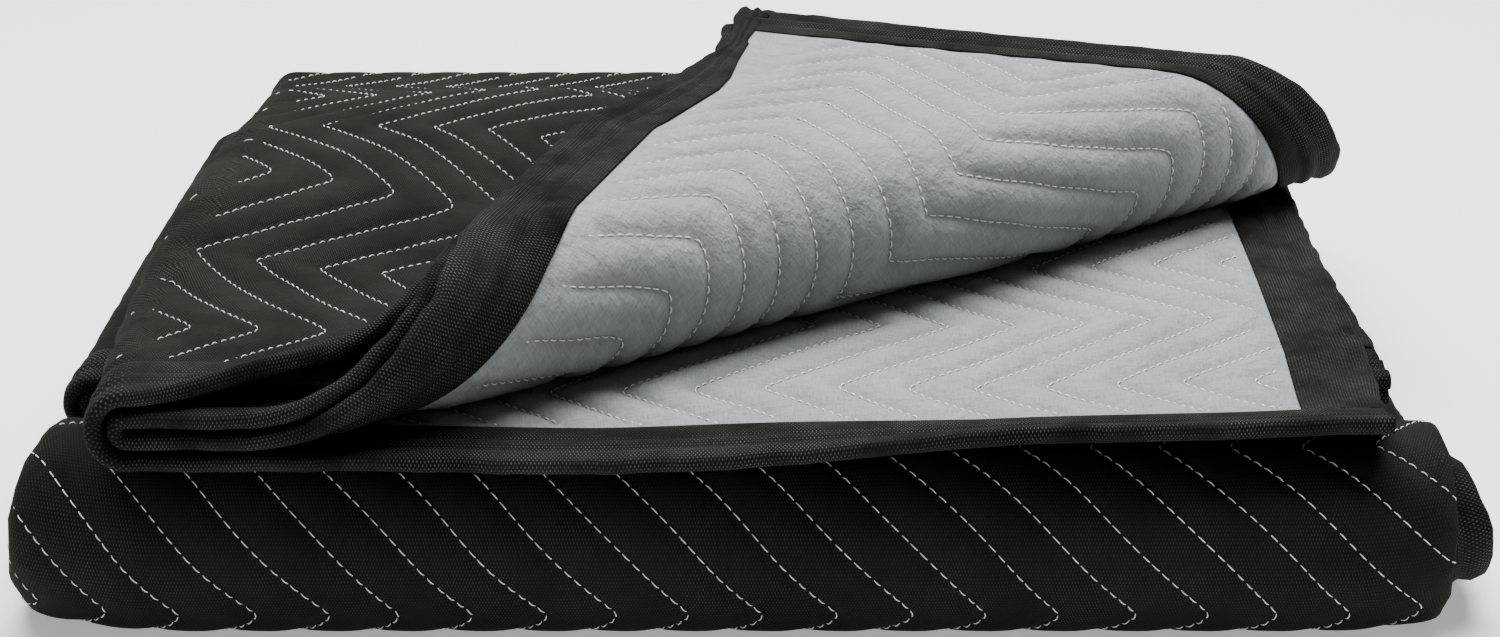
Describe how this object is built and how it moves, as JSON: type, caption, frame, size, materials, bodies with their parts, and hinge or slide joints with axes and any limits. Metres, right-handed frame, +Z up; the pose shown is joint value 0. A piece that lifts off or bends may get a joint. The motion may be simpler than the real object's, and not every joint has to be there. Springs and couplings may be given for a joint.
{
  "type": "folded moving pad",
  "caption": "Quilted moving pad with bound edges, folded into a flat stack with a corner rolled back, for wrapping and cushioning furniture in transit.",
  "frame": {"origin": "on the surface the folded pad lies on, under the middle of its lowest layer", "axes": "+Z up, -Y towards the side with the open edges and the rolled corner, +X to the right when it is seen from there"},
  "size_m": [0.5218, 0.4983, 0.1492],
  "materials": {
    "black_cloth": "matt",
    "grey_cloth": "matt",
    "black_tape": "matt"
  },
  "bodies": {
    "root": {"pad_cloth": "black_cloth", "binding_front": "black_tape", "binding_end": "black_tape", "binding_side_low": "black_tape", "binding_side_flap": "black_tape"}
  },
  "joints": []
}
